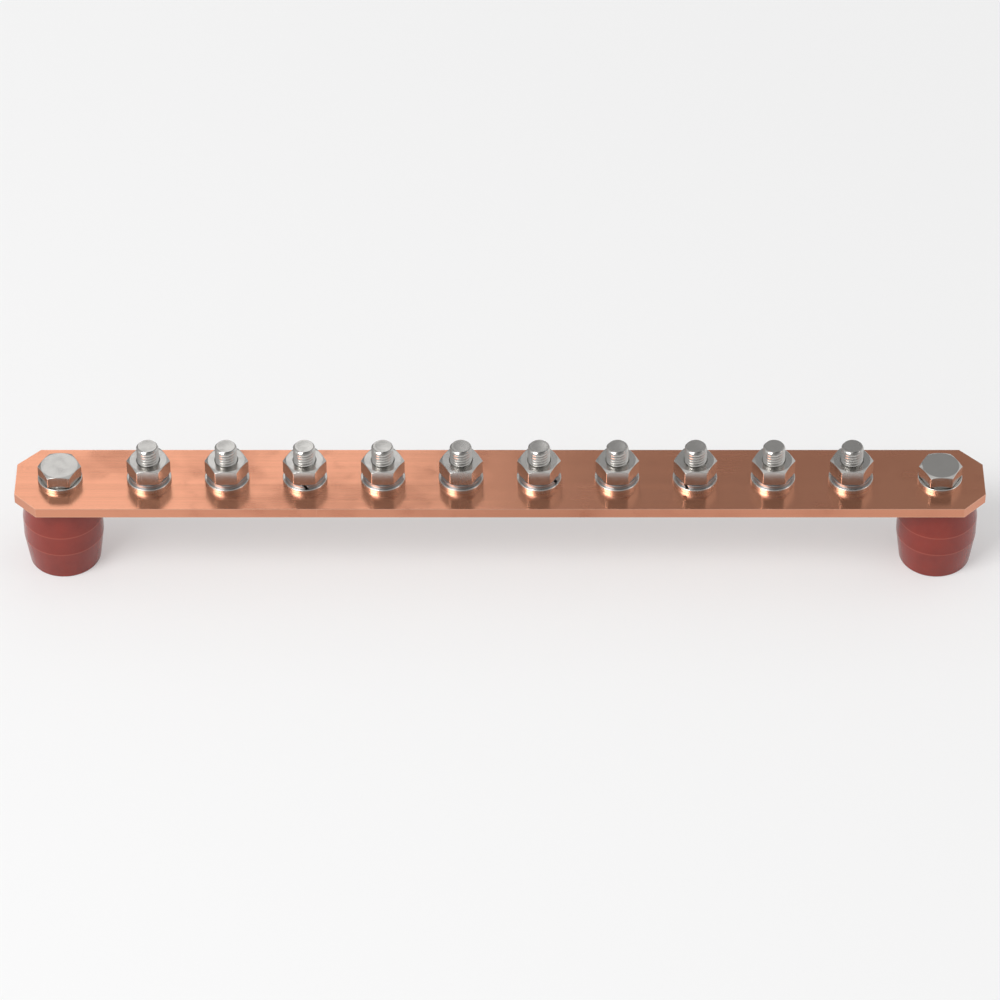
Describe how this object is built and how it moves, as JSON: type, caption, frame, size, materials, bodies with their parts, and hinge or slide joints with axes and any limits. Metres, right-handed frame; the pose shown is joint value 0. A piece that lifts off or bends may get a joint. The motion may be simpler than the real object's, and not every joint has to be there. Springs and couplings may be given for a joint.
{
  "type": "equipotential bonding bar",
  "caption": "Flat copper earthing bar with a row of hexagon screw terminals, carried on barrel-shaped post insulators for bolting to a wall, panel or rack",
  "frame": {"origin": "centre of the mounting plane, midway between the two insulators' feet", "axes": "+X along the bar, towards the end whose slot runs along the bar; +Y across the bar; +Z away from the mounting plane, towards the nuts"},
  "size_m": [0.435, 0.04, 0.065],
  "materials": {
    "bare_copper": "satin",
    "stainless_steel": "satin",
    "spring_steel": "satin",
    "moulded_polyester": "satin",
    "insert_brass": "satin"
  },
  "bodies": {
    "root": {"copper_bar": "bare_copper", "hex_screw_01": "stainless_steel", "flat_washer_01": "stainless_steel", "spring_washer_01": "spring_steel", "hex_nut_01": "stainless_steel", "hex_screw_02": "stainless_steel", "flat_washer_02": "stainless_steel", "spring_washer_02": "spring_steel", "hex_nut_02": "stainless_steel", "hex_screw_03": "stainless_steel", "flat_washer_03": "stainless_steel", "spring_washer_03": "spring_steel", "hex_nut_03": "stainless_steel", "hex_screw_04": "stainless_steel", "flat_washer_04": "stainless_steel", "spring_washer_04": "spring_steel", "hex_nut_04": "stainless_steel", "hex_screw_05": "stainless_steel", "flat_washer_05": "stainless_steel", "spring_washer_05": "spring_steel", "hex_nut_05": "stainless_steel", "hex_screw_06": "stainless_steel", "flat_washer_06": "stainless_steel", "spring_washer_06": "spring_steel", "hex_nut_06": "stainless_steel", "hex_screw_07": "stainless_steel", "flat_washer_07": "stainless_steel", "spring_washer_07": "spring_steel", "hex_nut_07": "stainless_steel", "hex_screw_08": "stainless_steel", "flat_washer_08": "stainless_steel", "spring_washer_08": "spring_steel", "hex_nut_08": "stainless_steel", "hex_screw_09": "stainless_steel", "flat_washer_09": "stainless_steel", "spring_washer_09": "spring_steel", "hex_nut_09": "stainless_steel", "hex_screw_10": "stainless_steel", "flat_washer_10": "stainless_steel", "spring_washer_10": "spring_steel", "hex_nut_10": "stainless_steel", "insulator_left": "moulded_polyester", "foot_insert_left": "insert_brass", "top_insert_left": "insert_brass", "fixing_screw_left": "stainless_steel", "fixing_washer_left": "stainless_steel", "insulator_right": "moulded_polyester", "foot_insert_right": "insert_brass", "top_insert_right": "insert_brass", "fixing_screw_right": "stainless_steel", "fixing_washer_right": "stainless_steel"}
  },
  "joints": []
}
